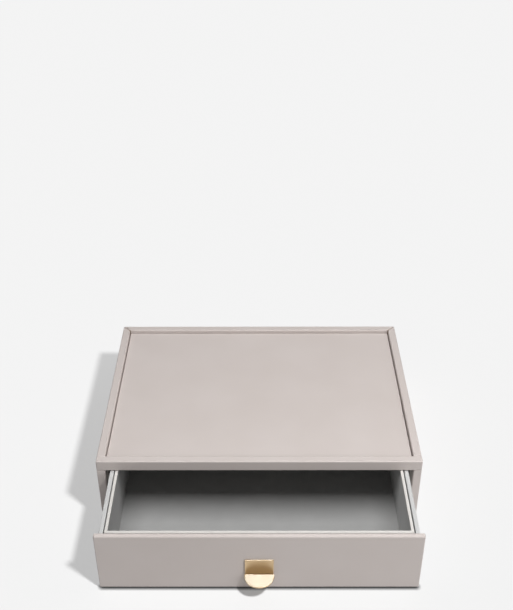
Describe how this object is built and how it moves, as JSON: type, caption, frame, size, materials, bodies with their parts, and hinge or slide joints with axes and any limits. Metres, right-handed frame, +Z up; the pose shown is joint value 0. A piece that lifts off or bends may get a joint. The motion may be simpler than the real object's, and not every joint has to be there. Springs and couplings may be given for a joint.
{
  "type": "vanity drawer box",
  "caption": "Low stacking vanity box wrapped in taupe leatherette, with a recessed top inside a mitred rim and a grey lined drawer opened by a brass half-round tab.",
  "frame": {"origin": "centre of the carcass's footprint on the surface that the box stands on, under its felt", "axes": "+X to the right as seen from the front, +Y to the back, +Z up; the drawer opens along -Y"},
  "size_m": [0.25, 0.2592, 0.065],
  "materials": {
    "leatherette": "matte",
    "fibreboard": "matte",
    "grey_board": "matte",
    "grey_paper": "matte",
    "felt": "matte",
    "drawer_board": "matte",
    "liner_velvet": "matte",
    "brass": "satin",
    "screw_steel": "satin"
  },
  "bodies": {
    "carcass": {"left_side_board": "fibreboard", "left_side_cover": "leatherette", "right_side_board": "fibreboard", "right_side_cover": "leatherette", "back_board": "fibreboard", "back_cover": "leatherette", "header_rail": "fibreboard", "header_cover": "leatherette", "deck_board": "fibreboard", "deck_cover": "leatherette", "base_board": "grey_board", "plinth_board": "grey_board", "plinth_felt": "felt", "left_lining_board": "grey_board", "right_lining_board": "grey_board", "back_lining_board": "grey_board", "ceiling_lining": "grey_paper", "floor_lining": "grey_paper"},
    "drawer": {"drawer_front_board": "fibreboard", "drawer_front_cover": "leatherette", "drawer_left_side": "drawer_board", "drawer_right_side": "drawer_board", "drawer_back": "drawer_board", "drawer_bottom": "drawer_board", "liner_left_wall": "liner_velvet", "liner_right_wall": "liner_velvet", "liner_front_wall": "liner_velvet", "liner_back_wall": "liner_velvet", "liner_floor": "liner_velvet", "tab_handle": "brass", "handle_screws": "screw_steel"}
  },
  "joints": [
    {"name": "drawer_slide", "type": "slide", "parent": "carcass", "child": "drawer", "axis": [0, -1, 0], "range_m": [-0.066, 0.085]}
  ]
}
